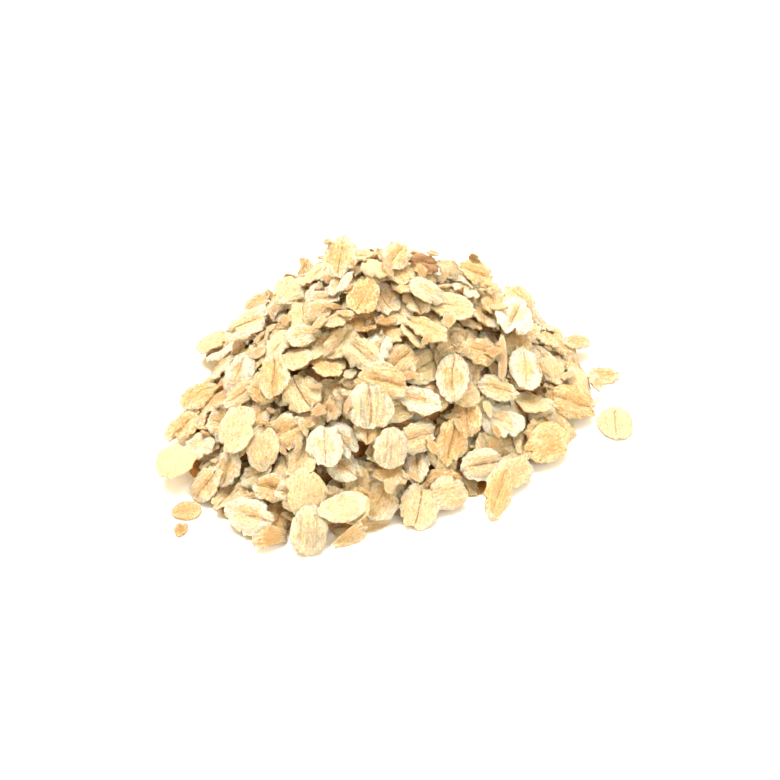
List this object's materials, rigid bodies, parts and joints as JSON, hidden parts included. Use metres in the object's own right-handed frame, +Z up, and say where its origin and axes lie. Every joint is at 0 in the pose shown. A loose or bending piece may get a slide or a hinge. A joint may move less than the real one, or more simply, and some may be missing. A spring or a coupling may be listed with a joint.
{
  "type": "heap of rolled oats",
  "caption": "Loose heap of rolled oat flakes with a rounded summit and an uneven foot, and a few stray flakes lying beside it.",
  "frame": {"origin": "on the surface that the heap lies on, under the middle of the heap", "axes": "+Z up, square to the surface; +X along the heap's width, towards the larger stray flake"},
  "size_m": [0.1112, 0.1123, 0.0434],
  "materials": {
    "rolled_oats": "dry, matt, floury rolled oat flakes, cream to golden with brown creases",
    "toasted_oat": "dry, matt oat flake, toasted orange-brown"
  },
  "bodies": {
    "root": {"oat_heap": "rolled_oats", "stray_flake_right": "rolled_oats", "stray_crumb_back": "rolled_oats", "stray_flake_left": "toasted_oat", "stray_crumb_left": "toasted_oat"}
  },
  "joints": []
}
